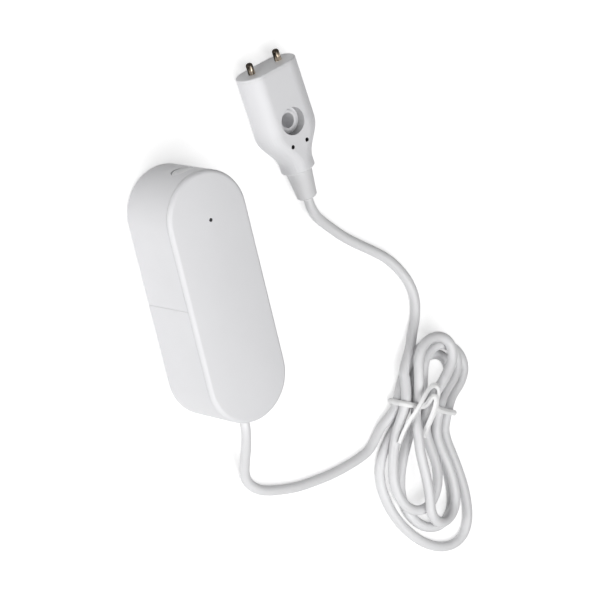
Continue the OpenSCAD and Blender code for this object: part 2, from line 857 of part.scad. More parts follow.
module led_lens() {
    color([0.95, 0.96, 0.97])
    translate([0, led_y, seam_z - lens_flange_t]) {
        cylinder(h = lens_flange_t, d = lens_flange_d);
        cylinder(h = lens_flange_t + front_t + crown - lens_sink, d = lens_d);
    }
}

// Inside the case

module main_board() {
    color(board_green)
    difference() {
        translate([0, 0, board_z])
            linear_extrude(height = board_t)
                stadium(board_w, run);
        at_posts()
            cylinder(h = case_d, d = post_d + 2 * post_clear);
        at_bosses()
            cylinder(h = case_d, d = boss_d + 2 * post_clear);
        translate([0, holder_y1 - peg_in, 0])
            cylinder(h = case_d, d = peg_d + 2 * post_clear);
    }
}

module status_led() {
    color([0.95, 0.9, 0.6])
    translate([0, led_y, board_top]) {
        translate([-led_l / 2, -led_w / 2, 0])
            cube([led_l, led_w, led_h / 2]);
        cylinder(h = led_h, d = led_w);
    }
}

module radio_module() {
    can_gap = part_gap;
    color(steel)
    translate([0, radio_y + radio_l / 2, board_z - radio_h]) {
        translate([0, 0, radio_h / 2])
            linear_extrude(height = radio_h / 2)
                square([radio_w, radio_l], center = true);
        linear_extrude(height = radio_h)
            rounded(radio_w - 2 * can_gap, radio_l - 2 * can_gap, can_gap);
    }
}

module pairing_switch() {
    color(black)
    difference() {
        translate([-switch_w / 2, switch_y0, button_z - switch_below])
            cube([switch_w, switch_depth, board_z - button_z + switch_below]);
        button_place()
            rod(switch_y1 - plunger_in - 2 * button_travel, switch_y1 + past, plunger_d / 2 + plunger_clear);
    }
}

module switch_plunger() {
    color(shell_white)
    button_place()
        rod(switch_y1 - plunger_in, plunger_y1, plunger_d / 2);
}

module battery_cell() {
    color([0.25, 0.42, 0.62])
    translate([0, 0, cell_z]) {
        rod(cell_y0, cell_y1 - cell_tip_h, cell_d / 2);
        rod(cell_y1 - cell_tip_h - fuse, cell_y1, cell_tip_d / 2);
    }
}

// Trough that hangs the cell under the board; its ends are trimmed to the board's outline
module battery_holder() {
    ear_z = board_z - ear_t;
    end_z = cell_z - end_wall_drop;
    holder_l = holder_y1 - holder_y0;
    color(black)
    difference() {
        union() {
            intersection() {
                translate([-holder_w / 2, holder_y0, cell_z])
                    cube([holder_w, holder_l, board_z - cell_z]);
                linear_extrude(height = case_d)
                    stadium(board_w, run);
            }
            for (y = [holder_y0, holder_y1 - trough_end])
                translate([-end_wall_w / 2, y, end_z])
                    cube([end_wall_w, trough_end, board_z - end_z]);
            at_posts()
                translate([0, 0, ear_z]) {
                    cylinder(h = ear_t, d = ear_d);
                    translate([-ear_d / 2, 0, 0])
                        cube([ear_d, ear_d / 2 + fuse, ear_t]);
                }
            translate([0, holder_y1 - peg_in, board_z - fuse])
                cylinder(h = board_t + fuse, d = peg_d);
        }
        translate([0, 0, cell_z])
            rod(spring_y0, holder_y1 - trough_end, trough_r);
        translate([-holder_w, (holder_y0 + holder_y1 - notch_l) / 2, cell_z - past])
            cube([2 * holder_w, notch_l, notch_h + past]);
        at_posts()
            translate([0, 0, ear_z - past])
                cylinder(h = ear_t + 2 * past, d = small_screw_d + 2 * screw_gap);
    }
}

module positive_contact() {
    tail_z = cell_z + trough_r - part_gap;
    color(steel)
    along_y(contact_y, contact_y + contact_t) {
        translate([0, cell_z])
            rounded(contact_w, contact_w, contact_w / 8);
        translate([-tail_w / 2, cell_z])
            square([tail_w, tail_z - cell_z]);
    }
}

module negative_spring() {
    rings = 12;
    last = rings * spring_turns;
    length = spring_l - spring_wire;
    path = [for (i = [0 : last])
        let (u = i / last, r = spring_r + (spring_tip_r - spring_r) * u, a = 360 * i / rings)
        [r * cos(a), spring_y0 + spring_wire / 2 + length * u, cell_z + r * sin(a)]];
    color(steel)
    tube(path, spring_wire, hank_sides);
}

module holder_screws() {
    color(steel)
    at_posts()
        translate([0, 0, board_z - ear_t])
            pan_screw(small_screw_d, holder_screw_l);
}

module housing_screws() {
    color(steel)
    at_bosses()
        translate([0, 0, well_h])
            pan_screw(case_screw_d, case_screw_l);
}

module cable_grommet() {
    color(black)
    cord_place()
        difference() {
            union() {
                rod(spot_y - grommet_flange_t, spot_y, grommet_flange_r);
                rod(spot_y - fuse, grommet_in_y + fuse, grommet_r);
                rod(grommet_in_y, grommet_in_y + grommet_flange_t, grommet_flange_r);
            }
            rod(end_y - case_w, 0, cord_bore_r);
        }
}

module cable_clamp() {
    color(shell_white)
    difference() {
        translate([0, clamp_y, cord_z + clamp_gap / 2])
            linear_extrude(height = clamp_t)
                rounded(clamp_w, clamp_l, clamp_margin / 2);
        cord_place()
            rod(end_y, 0, cord_bore_r);
        at_clamp_screws()
            cylinder(h = case_d, d = small_screw_d + 2 * screw_gap);
    }
}

module clamp_screws() {
    color(steel)
    at_clamp_screws()
        translate([0, 0, cord_z + clamp_gap / 2 + clamp_t])
            mirror([0, 0, 1])
                pan_screw(small_screw_d, clamp_screw_l);
}

module wire_header() {
    core_z = board_z - header_core_drop;
    color([0.93, 0.92, 0.86])
    difference() {
        translate([-header_w / 2, header_y, board_z - header_h])
            cube([header_w, header_l, header_h]);
        for (s = sides)
            translate([s * header_pitch / 2, 0, core_z])
                rod(header_y - past, header_y + header_l - header_wall, core_d / 2 + cord_clear);
    }
}

module wire_leads() {
    steps = 8;
    bend_from = 0.15;
    bend_share = 0.5;
    reach = header_y + header_l / 2 - cord_in_y;
    rise = cord_drop - header_core_drop;
    color(copper)
    for (s = sides)
        tube([for (i = [0 : steps])
            let (u = i / steps, v = smooth((u - bend_from) / bend_share))
            [s * (core_pitch + (header_pitch - core_pitch) * v) / 2, cord_in_y + contact_gap + reach * u,
                cord_z + rise * v]], core_d, hank_sides);
}

// Probe

module at_probe() {
    translate([probe_x, probe_y, 0])
        rotate([0, 0, probe_turn])
            children();
}

function probe_point(y) = [probe_x - y * sin(probe_turn), probe_y + y * cos(probe_turn), probe_z];

// Stadium section of the probe, its straight run along X, drawn about the probe's axis
module probe_section(width, thick) {
    translate([0, probe_z])
        oval(width, thick);
}

// One ring of the shoulders: a stadium that narrows to a circle
function shoulder_ring(y, half_w, half_t) =
    [for (k = [0 : shoulder_points - 1])
        let (a = 360 * (k + 0.5) / shoulder_points)
        [(half_w - half_t) * sign(sin(a)) + half_t * sin(a), y, probe_z + half_t * cos(a)]];

// Shoulders and neck, lofted from the round neck up to a hair inside the full width
module probe_shoulders() {
    steps = 12;
    neck_r = neck_d / 2;
    end_w = probe_w / 2 - loft_in;
    end_t = probe_t / 2 - loft_in;
    lip = [
        shoulder_ring(-probe_neck, neck_r - neck_round, neck_r - neck_round),
        shoulder_ring(-probe_neck + neck_round, neck_r, neck_r)
    ];
    loft = [for (i = [0 : steps])
        let (u = i / steps, v = smooth(u))
        shoulder_ring(-probe_waist + (probe_waist - probe_shoulder) * u,
            neck_r + (end_w - neck_r) * v, neck_r + (end_t - neck_r) * v)];
    root = [shoulder_ring(fuse - probe_shoulder, end_w, end_t)];
    skin(concat(lip, loft, root));
}

module probe_cavity() {
    difference() {
        union() {
            along_y(throat_y1, probe_front)
                probe_section(probe_cavity_w, probe_cavity_t);
            along_y(throat_y0, throat_y1 + past)
                probe_section(throat_w, throat_t);
        }
        cylinder(h = probe_t, r = screw_boss_r);
    }
}

module probe_housing() {
    color(shell_white)
    at_probe()
    difference() {
        union() {
            along_y(-probe_shoulder, cap_y)
                probe_section(probe_w, probe_t);
            probe_shoulders();
        }
        probe_cavity();
        difference() {
            translate([0, 0, counterbore_z])
                cylinder(h = probe_t, d = counterbore_d);
            cylinder(h = counterbore_z + ring_h, d = screw_hole_d + 2 * ring_w);
        }
        translate([0, 0, -past])
            cylinder(h = probe_t + 2 * past, d = screw_hole_d);
        for (s = sides)
            translate([s * peep_pitch / 2, -peep_back, probe_t - peep_h])
                cylinder(h = probe_t, d = peep_d);
        translate([0, 0, probe_z])
            rod(-probe_neck - past, throat_y0 + past, relief_bore_r);
    }
}

module at_pins() {
    for (s = sides)
        translate([s * pin_pitch / 2, 0, probe_z])
            children();
}

module probe_end_cap() {
    color(shell_white)
    at_probe()
    difference() {
        union() {
            translate([0, cap_y, probe_z])
                rotate([0, -90, -90])
                    stadium_sweep(probe_w - probe_t) {
                        square([probe_t / 2, cap_t - cap_round]);
                        square([probe_t / 2 - cap_round, cap_t]);
                        translate([probe_t / 2 - cap_round, cap_t - cap_round])
                            circle(r = cap_round);
                    }
            along_y(cap_y - cap_plug, cap_y + fuse)
                probe_section(probe_cavity_w - 2 * cap_clear, probe_cavity_t - 2 * cap_clear);
        }
        at_pins()
            rod(0, probe_front + past, pin_d / 2 + pin_clear);
    }
}

module probe_pins() {
    root_y = probe_front - pin_in;
    pin_l = pin_in + pin_out;
    tip_r = pin_d / 2 - pin_round;
    color(gold)
    at_probe()
    at_pins()
        turned_y() {
            translate([0, root_y]) {
                square([pin_d / 2, pin_l - pin_round]);
                square([tip_r, pin_l]);
                translate([tip_r, pin_l - pin_round])
                    intersection() {
                        circle(r = pin_round);
                        square(pin_round);
                    }
            }
            translate([0, collar_y])
                square([pin_collar_d / 2, pin_collar_t]);
        }
}

module probe_board() {
    color(board_green)
    at_probe()
    translate([0, probe_board_y + probe_board_l / 2, probe_board_z])
        linear_extrude(height = probe_board_t)
            rounded(probe_board_w, probe_board_l, board_corner);
}

// The two cores spread from the neck, pass the screw boss and end on the probe's board
module probe_wires() {
    throat_x = throat_w / 2 - core_d;
    clear_x = screw_boss_r + 2 * core_d;
    end_x = (pin_pitch + pin_d + core_d) / 2;
    end_z = probe_board_z + probe_board_t + core_d / 2 + contact_gap;
    color(copper)
    at_probe()
    for (s = sides)
        tube([
            [s * core_pitch / 2, relief_in + 2 * cord_stub + contact_gap, probe_z],
            [s * core_pitch / 2, throat_y0 - core_d, probe_z],
            [s * core_pitch, throat_y0 + core_d / 2, probe_z],
            [s * (core_pitch + throat_x) / 2, throat_y0 + 3 * core_d / 2, probe_z],
            [s * throat_x, throat_y1 - core_d / 2, probe_z],
            [s * clear_x, -2 * core_d, probe_z],
            [s * clear_x, 2 * core_d, probe_z],
            [s * clear_x, 5 * core_d, (probe_z + end_z) / 2],
            [s * (clear_x + end_x) / 2, probe_board_y + core_d, end_z],
            [s * end_x, probe_board_y + probe_board_l / 2, end_z]
        ], core_d, hank_sides);
}

module probe_strain_relief() {
    color(shell_white)
    at_probe()
    translate([0, 0, probe_z])
        turned_y()
            polygon([
                [cord_bore_r, relief_in], [relief_plug_d / 2, relief_in], [relief_plug_d / 2, relief_top],
                [relief_d / 2, relief_top], [relief_tip_d / 2, relief_tip + relief_round],
                [relief_tip_d / 2 - relief_round, relief_tip], [cord_bore_r, relief_tip]
            ]);
}

// Cord

function hank_z(layer) = cord_d / 2 + layer * hank_layer;

// A run of the hank at a share of its way from the waist to the end of a fold
function hank_side(waist, end, share) =
    let (y = share * end.y, from = hank_z(waist.y) + waist_lift)
    [waist.x + (end.x - waist.x) * smooth(share), y,
        from + (hank_z(end.z) - from) * smooth(abs(y) / hank_rise)];

// Half an ellipse between a fold's ends, at a share of its way: to the right above the waist, back below it
function hank_fold(fold, way, share) =
    let (ends = [for (p = [fold[0], fold[1]]) [p.x, p.y, hank_z(p.z)]])
    (ends[0] + ends[1] - way * cos(180 * share) * (ends[1] - ends[0])) / 2
        + [0, way * sin(180 * share) * fold[2], 0];

// One loop from the waist: up its left run, over its top fold, down its right run and back by its low fold
function hank_loop(i, points) =
    let (top = hank_tops[i], low = hank_lows[i], long = 2 * points, far = 3 * points)
    concat(
        [for (k = [0 : points - 1]) hank_side(hank_ups[i], top[0], k / points)],
        [for (k = [0 : long]) hank_fold(top, 1, k / long)],
        [for (k = [points - 1 : -1 : 1]) hank_side(hank_downs[i], top[1], k / points)],
        [for (k = [0 : long - 1]) hank_side(hank_downs[i], low[1], k / long)],
        [for (k = [0 : far]) hank_fold(low, -1, k / far)],
        [for (k = [long - 1 : -1 : 1]) hank_side(hank_ups[i + 1], low[0], k / long)]
    );

// Bends the hank's axis to the right along an arc, then sets it in its place on the table
function hank_set(p) =
    let (reach = min(max(p.y, hank_bend_y0), hank_bend_y1) - hank_bend_y0,
        span = hank_bend_y1 - hank_bend_y0,
        a = hank_bend * reach / span,
        r = span * 180 / (PI * hank_bend),
        beyond = p.y - hank_bend_y0 - reach,
        bent = [r * (1 - cos(a)) + beyond * sin(a) + p.x * cos(a),
            hank_bend_y0 + r * sin(a) + beyond * cos(a) - p.x * sin(a)])
    [hank_place.x + bent.x * cos(hank_turn) - bent.y * sin(hank_turn),
        hank_place.y + bent.x * sin(hank_turn) + bent.y * cos(hank_turn), p.z];

// The hank's centre line, with so many points on a short run
function hank_path(points) =
    let (loops = len(hank_tops))
    [for (p = concat(
        [for (k = [points : -1 : 1]) hank_side(hank_ups[0], hank_entry, hank_ends * k / points)],
        [for (i = [0 : loops - 1]) each hank_loop(i, points)],
        [for (k = [0 : points]) hank_side(hank_ups[loops], hank_exit, hank_ends * k / points)]
    )) hank_set(p)];

// The last two points of a run that meets the hank square on
function hank_lead(path) =
    let (out = unit(path[0] - path[1]))
    [path[0] + cord_d * out, path[0] + contact_gap * out];

function reversed(path) = [for (i = [len(path) - 1 : -1 : 0]) path[i]];

module cord_body_run() {
    color(cord_white)
    tube(concat([[0, cord_in_y, cord_z]], body_route, hank_lead(hank_path(hank_points))), cord_d, cord_sides);
}

module cord_hank() {
    fine = hank_path(gap_points);
    gap = least_distance(fine, gap_skip) - cord_d;
    echo(str("Least gap of the hank to itself, in mm: ", gap));
    color(cord_white)
    tube(hank_path(hank_points), cord_d, hank_sides);
}

module cord_probe_run() {
    inside = probe_point(relief_in + 2 * cord_stub);
    tip = probe_point(relief_tip);
    color(cord_white)
    tube(concat([inside, tip], probe_route, hank_lead(reversed(hank_path(hank_points)))), cord_d, cord_sides);
}

module cord_tie() {
    color(tie_white)
    tube([for (p = tie_route) hank_set(p)], tie_d, tie_sides);
}

front_cover();
battery_cover();
lower_housing();
pairing_button();
led_lens();
status_led();
main_board();
radio_module();
pairing_switch();
switch_plunger();
battery_cell();
battery_holder();
positive_contact();
negative_spring();
holder_screws();
housing_screws();
cable_grommet();
cable_clamp();
clamp_screws();
wire_header();
wire_leads();
probe_housing();
probe_end_cap();
probe_pins();
probe_board();
probe_wires();
probe_strain_relief();
cord_body_run();
cord_hank();
cord_probe_run();
cord_tie();
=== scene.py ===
"""Looks of a water leak sensor: its cord, hank and wire tie, the finishes of its solids, and its stage."""

import json
from itertools import accumulate

import bpy
import numpy as np
from bpy.props import FloatProperty, FloatVectorProperty, IntProperty, PointerProperty
from mathutils import Matrix, Vector


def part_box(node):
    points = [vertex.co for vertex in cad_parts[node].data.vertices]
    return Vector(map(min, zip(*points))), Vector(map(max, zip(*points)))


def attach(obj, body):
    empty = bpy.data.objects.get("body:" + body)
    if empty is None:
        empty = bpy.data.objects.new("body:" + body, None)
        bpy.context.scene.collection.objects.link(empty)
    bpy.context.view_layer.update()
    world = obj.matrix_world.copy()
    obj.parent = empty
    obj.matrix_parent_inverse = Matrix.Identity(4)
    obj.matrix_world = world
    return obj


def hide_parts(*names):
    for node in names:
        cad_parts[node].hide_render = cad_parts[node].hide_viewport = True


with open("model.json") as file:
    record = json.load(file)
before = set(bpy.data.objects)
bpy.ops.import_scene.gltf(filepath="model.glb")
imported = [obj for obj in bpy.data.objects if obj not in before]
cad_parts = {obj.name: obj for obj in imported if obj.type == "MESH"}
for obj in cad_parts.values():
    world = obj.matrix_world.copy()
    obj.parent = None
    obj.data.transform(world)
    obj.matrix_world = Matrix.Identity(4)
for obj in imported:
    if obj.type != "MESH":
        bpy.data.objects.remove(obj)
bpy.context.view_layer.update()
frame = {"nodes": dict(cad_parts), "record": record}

bl_info = {
    "name": "Water Leak Sensor",
    "version": (1, 0, 0),
    "blender": (4, 5, 0),
    "location": "View3D > Sidebar > Leak Sensor",
    "description": "Makes the cord and wire tie of a water leak sensor, and finishes its solids",
    "category": "Object",
}

MM = 0.001

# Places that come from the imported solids, in metres
GROMMET_LOW, GROMMET_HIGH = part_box("cable_grommet")
CORD_EXIT = (0.0, GROMMET_LOW.y, (GROMMET_LOW.z + GROMMET_HIGH.z) / 2)
CORD_START = (0.0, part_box("cord_body_run")[1].y, CORD_EXIT[2])
SCREW_HOLE = next(m for m in frame["record"]["mounts"] if m["name"] == "screw_hole")["pos_m"]

# The probe's turn on the table, its axis's height, and where its sleeve ends and its cord stops from the
# screw hole, in millimetres
PROBE_TURN = np.radians(5.3)
PROBE_AXIS_Z = 6.0
SLEEVE_TIP = -28.0
CORD_STOP = -11.0
# The two small holes in its shoulder: places from the screw hole, radius, the height below which shade is
# painted in them, and the share of the colour that this painted shade leaves there
PEEP_PLACES = ((-3.0, -8.0), (3.0, -8.0))
PEEP_RADIUS = 0.74
PEEP_TOP = 11.7
PEEP_SHADE_LEFT = 0.08
# The screw head's counterbore: the radii between which its wall lies, and the share of painted shade on it
BORE_WALL = (4.5, 4.7)
BORE_SHADE = 0.45
# Where the pins' tips are from the screw hole, the length over which painted dark reflection gathers toward
# them, and its strength
PIN_TIP = 22.7
PIN_DARK = 3.0
PIN_TIP_PAINTED_DARK = 0.25
# Shift of the pins' painted dark and bright reflection streaks, in metres
PIN_STREAKS = (0.013, 0.0, 0.005)

# Free cord from the case to the hank, and from the probe to the hank, in millimetres
BODY_ROUTE = np.array([
    [0, -44, 16], [0, -46.4, 15.9], [0.2, -50, 14.6], [0.8, -54, 12], [1.6, -58, 8.9], [2.5, -62, 5.8],
    [3.3, -65.6, 3.2], [4.2, -69, 1.9], [6, -72, 1.6], [9, -74.6, 1.6], [13, -76.4, 1.6], [18, -78, 1.6],
    [24, -79.4, 1.6], [31, -80.2, 1.6], [38, -80.6, 1.6], [44.4, -80.4, 1.6], [50.2, -79.8, 1.6],
    [55, -78.3, 1.6],
])
PROBE_ROUTE = np.array([
    [51.4, 10.6, 5.9], [52.6, 7.8, 5.1], [54.4, 5.2, 4], [56.8, 2.6, 2.8], [59.8, -0.6, 1.9], [64, -5.2, 1.6],
    [69, -9.8, 1.6], [74, -14, 1.6], [79, -18.6, 1.6], [83, -24, 1.6], [85.8, -30, 1.6], [86.7, -36.2, 1.6],
    [85.2, -42, 1.7], [82.1, -46.6, 2.5], [78.6, -50.8, 3.9],
])

# Hank of folded cord, in millimetres. In its plan the tied waist lies along X, and the cord goes up it on the
# left and down on the right. Ends of folds are (X, Y, layer), and crossings of the waist are (X, layer).
HANK_PLACE = (76.6, -72.0)
HANK_TURN = np.radians(-12)
# Folds above the waist and below it: left end, right end and depth beyond them
HANK_TOPS = (
    ((-10.6, 11.5, 0), (13.6, 15, 0), 9.8),
    ((-6.4, 10.5, 0), (8.2, 11.5, 0), 7.8),
    ((-7.2, 15, 1), (7.2, 15, 1), 7.5),
    ((-13.2, 16, 2), (1, 16.5, 2), 7.2),
)
HANK_LOWS = (
    ((-16.5, -20.5, 0), (20.4, -40.5, 0), 17.6),
    ((-8, -27, 0), (13.9, -34, 0), 12),
    ((-1.2, -33.2, 2), (12.6, -33.2, 1), 7),
    ((-13.5, -20.5, 1), (5.4, -24, 1), 12.5),
)
HANK_UPS = ((-11.8, 0), (-7.7, 0), (-2, 0), (-6.3, 1), (-11.2, 1))
HANK_DOWNS = ((10.6, 0), (6, 0), (3.8, 1), (-1.2, 1))
# Where the first run comes from and the last one heads for, and the share of them that the hank includes
HANK_ENTRY = (-17, -10.5, 0)
HANK_EXIT = (-14.4, 13, 0.97)
HANK_ENDS = 0.5
# Height of the lowest layer and of each further one, lift of the tied waist and the length that eases it
HANK_FLOOR, HANK_LAYER = 1.6, 3.7
HANK_LIFT, HANK_RISE = 1.5, 10.0
# Bend of the hank's axis, and the stretch of it that bends
HANK_BEND = np.radians(30)
HANK_BEND_LOW, HANK_BEND_HIGH = -18.0, 12.0
# Points on a short run of the hank, and steps of the smooth curve between two points of a route
HANK_POINTS = 5
CURVE_STEPS = 12

# Near both ends the cord is in its bores: its share of the full diameter there, and how far from its ends it
# starts to swell and is full, in millimetres
CORD_SNUG = 0.94
CORD_SNUG_TO, CORD_FULL_FROM = 17.0, 24.0

# Wire tie round the waist, in the hank's own plan: a tail, an arch, the ring and the other tail
TIE_ROUTE = np.array([
    [-12.7, -11, 8.2], [-11.6, -7.5, 9], [-10.4, -4, 10.2], [-9.2, -0.6, 11.6], [-8, 3, 12],
    [-6.5, 6, 11.8], [-4.4, 7.5, 11.6], [-2.2, 6.8, 11.3], [-1, 4.6, 10.8], [-0.5, 2.2, 10.2],
    [0.8, 0.6, 9.6], [3.8, 0.1, 9.4], [7.2, 0, 8.3], [10.4, 0, 6.5], [12.7, 0, 5], [13.3, 0, 3.1],
    [12.7, 0, 1.15], [9.8, 0, 0.74], [3, 0, 0.74], [-4, 0, 0.74], [-10.8, 0, 0.74], [-13.6, 0, 1.15],
    [-14.4, 0, 3.3], [-14.3, 0, 6.6], [-13.4, 0, 8.6], [-10.8, 0, 9.4], [-8, 0, 9.4], [-5.6, 0.3, 9.6],
    [-4.4, 1.6, 10.2], [-4.1, 3.2, 10.9], [-3.2, 4.2, 11.4], [-2.3, 3.4, 11.7], [-2, 1.6, 11.7],
    [-1.9, -1, 11.2], [-2, -4, 10.2], [-2.3, -7, 9.1], [-2.6, -9.6, 8.2],
])

# Share of the tie's thickness in its wings, and of its half width that the core's bulge takes
TIE_WING = 0.5
TIE_CORE_SHARE = 0.45
# Spacing of the tie's rings, and how far its core stands out of its cut ends, in millimetres
TIE_STEP = 0.4
TIE_CORE_OUT = 0.15
# Points round each ring of the tie and of its core
TIE_SIDES, TIE_CORE_SIDES = 24, 12

# Softened edges of the probe, in millimetres, and the rays that soften them
SOFT_EDGE = 0.25
EDGE_SAMPLES = 6
# Colours of small pieces: the light's resin, the wire header, black plastic, the cell's band and its end, and
# the light pipe
RESIN_COLOUR = (0.75, 0.68, 0.35)
NYLON_COLOUR = (0.72, 0.69, 0.58)
BLACK_COLOUR = (0.03, 0.03, 0.032)
BAND_COLOUR, CELL_END_COLOUR = (0.62, 0.62, 0.60), (0.5, 0.5, 0.5)
PIPE_COLOUR = (0.02, 0.02, 0.024, 1)

# Camera of the photograph: where it stands and what its middle sees, in metres, its upward direction, and its
# lens and sensor, in millimetres
CAMERA_PLACE = Vector((-0.60444, 0.34390, 0.97867))
CAMERA_TARGET = Vector((0.04267, -0.02010, 0.0))
CAMERA_UP = Vector((0.355, 0.928, -0.111))
CAMERA_LENS = 222.8
CAMERA_SENSOR = 36.0

# Places and widths of the lamps on the left and above, in metres
KEY_PLACE, KEY_WIDTH = (-0.96, 0.27, 0.34), 0.4
FILL_PLACE, FILL_WIDTH = (-0.22, -0.36, 1.01), 1.1
# Half the floor's width in metres, its colour, and how much of its own white shows
FLOOR_HALF = 3.0
FLOOR_COLOUR = (0.8, 0.8, 0.8, 1)
FLOOR_GLOW = 0.55


def colour_prop(name, description, default):
    """A colour that a user can change."""
    return FloatVectorProperty(
        name=name, description=description, default=default, subtype="COLOR", size=3, min=0, max=1
    )


class LeakSensorCord(bpy.types.PropertyGroup):
    """Sizes of the cord and of the wire tie."""

    diameter: FloatProperty(
        name="Cord diameter", description="Outside diameter of the cord's jacket",
        default=3.5 * MM, min=3.2 * MM, max=3.5 * MM, unit="LENGTH", precision=4,
    )
    step: FloatProperty(
        name="Cord step", description="Spacing of the rings along the cord",
        default=0.8 * MM, min=0.2 * MM, max=4 * MM, unit="LENGTH", precision=4,
    )
    sides: IntProperty(
        name="Cord sides", description="Points round each ring of the cord", default=24, min=8, max=64,
    )
    tie_width: FloatProperty(
        name="Tie width", description="Width of the wire tie's flattened jacket",
        default=1.9 * MM, min=0.8 * MM, max=2.2 * MM, unit="LENGTH", precision=4,
    )
    tie_thickness: FloatProperty(
        name="Tie thickness", description="Thickness of the wire tie over its core",
        default=1.15 * MM, min=0.6 * MM, max=1.4 * MM, unit="LENGTH", precision=4,
    )
    tie_core: FloatProperty(
        name="Tie core", description="Diameter of the steel wire in the tie",
        default=0.5 * MM, min=0.3 * MM, max=0.6 * MM, unit="LENGTH", precision=4,
    )


class LeakSensorFinish(bpy.types.PropertyGroup):
    """Colours of the finishes."""

    shell: colour_prop("Shell", "White moulded plastic of the case", (0.797, 0.797, 0.814))
    probe: colour_prop("Probe", "White moulded plastic of the probe", (0.79, 0.79, 0.806))
    button: colour_prop("Button", "White moulded plastic of the button", (0.88, 0.88, 0.89))
    cord: colour_prop("Cord", "Satin jacket of the cord", (0.77, 0.77, 0.78))
    sleeve: colour_prop("Sleeve", "Soft sleeve at the probe and grommet at the case", (0.76, 0.76, 0.77))
    tie: colour_prop("Tie", "Jacket of the wire tie", (0.90, 0.90, 0.90))
    # Gold of the pins' plating, darkened to stand in for dark reflections
    pin: colour_prop("Pin", "Worn gold plating of the sensing pins", (0.31, 0.26, 0.205))
    steel: colour_prop("Steel", "Plated steel of screws and contacts", (0.58, 0.58, 0.60))
    board: colour_prop("Board", "Solder mask of the boards", (0.03, 0.16, 0.07))
    cell: colour_prop("Cell", "Shrink sleeve of the cell", (0.07, 0.16, 0.32))
    core: colour_prop("Core", "Insulation of the cord's cores", (0.5, 0.1, 0.06))
    roughness: FloatProperty(
        name="Shell roughness", description="Roughness of the moulded plastic",
        default=0.42, min=0.05, max=1, subtype="FACTOR",
    )


class LeakSensorStage(bpy.types.PropertyGroup):
    """Strengths of the lights."""

    key: FloatProperty(
        name="Key light", description="Power of the soft light on the left", default=4.5, min=0, unit="POWER",
    )
    fill: FloatProperty(
        name="Fill light", description="Power of the soft light above", default=11.5, min=0, unit="POWER",
    )
    world: FloatProperty(
        name="Room light", description="Strength of the light from all round", default=0.03, min=0, max=2,
    )


# Curves and meshes

def smooth(v):
    """Rises from 0 to 1 with level ends: half of one less the cosine of v half turns."""
    return (1 - np.cos(np.pi * np.clip(v, 0, 1))) / 2


def unit(v):
    """Rows of v, each divided by its own length."""
    return v / np.linalg.norm(v, axis=-1, keepdims=True)


def flowing(points, steps):
    """Catmull-Rom curve: cubics through the points, with half the step between a point's neighbours as its
    slope."""
    ends = np.vstack([2 * points[0] - points[1], points, 2 * points[-1] - points[-2]])
    a, b, c, d = (ends[i:len(ends) - 3 + i, None] for i in range(4))
    u = np.linspace(0, 1, steps, endpoint=False)[None, :, None]
    cubic = 2 * b + (c - a) * u + (2 * a - 5 * b + 4 * c - d) * u**2 + (3 * b - a - 3 * c + d) * u**3
    return np.vstack([cubic.reshape(-1, 3) / 2, points[-1]])


def runs(path):
    """Distance of each point from the path's start: the running sum of the steps between them."""
    return np.concatenate([[0], np.cumsum(np.linalg.norm(np.diff(path, axis=0), axis=1))])


def spaced(path, step):
    """The same path with points an equal step apart, by straight lines between its dense points."""
    along = runs(path)
    at = np.linspace(0, along[-1], int(np.ceil(along[-1] / step)) + 1)
    return np.stack([np.interp(at, along, path[:, k]) for k in range(3)], axis=1)


def hank_z(layer):
    """Height of a layer of cord: the lowest one's, plus so many layers."""
    return HANK_FLOOR + HANK_LAYER * layer


def hank_side(waist, end, share):
    """A run at shares of its way from the waist to a fold's end: straight along the hank, and by smooth steps
    across it and from the tied waist's height to the end's layer."""
    x, y, layer = end
    lifted = hank_z(waist[1]) + HANK_LIFT
    eased = smooth(np.abs(share * y) / HANK_RISE)
    return np.stack([
        waist[0] + (x - waist[0]) * smooth(share), share * y, lifted + (hank_z(layer) - lifted) * eased,
    ], axis=1)


def hank_fold(fold, way, share):
    """Half an ellipse at shares of its way: from the middle of a fold's ends, by the cosine of a half turn
    along the line that joins them and by its sine beyond it; to the right above the waist and back below
    it."""
    left, right = (np.array([x, y, hank_z(layer)]) for x, y, layer in fold[:2])
    turn = np.pi * share[:, None]
    beyond = np.array([0, fold[2], 0])
    return (left + right) / 2 + way * (np.cos(turn) * (left - right) / 2 + np.sin(turn) * beyond)


def hank_loop(i):
    """One loop from the waist: up its left run, over its top fold, down its right run and back by its low
    fold."""
    top, low = HANK_TOPS[i], HANK_LOWS[i]
    short, long, far = (np.linspace(0, 1, times * HANK_POINTS, endpoint=False) for times in (1, 2, 3))
    return np.vstack([
        hank_side(HANK_UPS[i], top[0], short),
        hank_fold(top, 1, long),
        hank_side(HANK_DOWNS[i], top[1], 1 - short),
        hank_side(HANK_DOWNS[i], low[1], long),
        hank_fold(low, -1, far),
        hank_side(HANK_UPS[i + 1], low[0], 1 - long),
    ])


def hank_set(x, y, z):
    """The hank's plan with its axis bent to the right along an arc, then turned and set in its place on the
    table."""
    reach = np.clip(y, HANK_BEND_LOW, HANK_BEND_HIGH) - HANK_BEND_LOW
    span = HANK_BEND_HIGH - HANK_BEND_LOW
    a = HANK_BEND * reach / span
    r = span / HANK_BEND
    beyond = y - HANK_BEND_LOW - reach
    bent_x = r * (1 - np.cos(a)) + beyond * np.sin(a) + x * np.cos(a)
    bent_y = HANK_BEND_LOW + r * np.sin(a) + beyond * np.cos(a) - x * np.sin(a)
    return np.stack([
        HANK_PLACE[0] + bent_x * np.cos(HANK_TURN) - bent_y * np.sin(HANK_TURN),
        HANK_PLACE[1] + bent_x * np.sin(HANK_TURN) + bent_y * np.cos(HANK_TURN),
        z,
    ], axis=1)


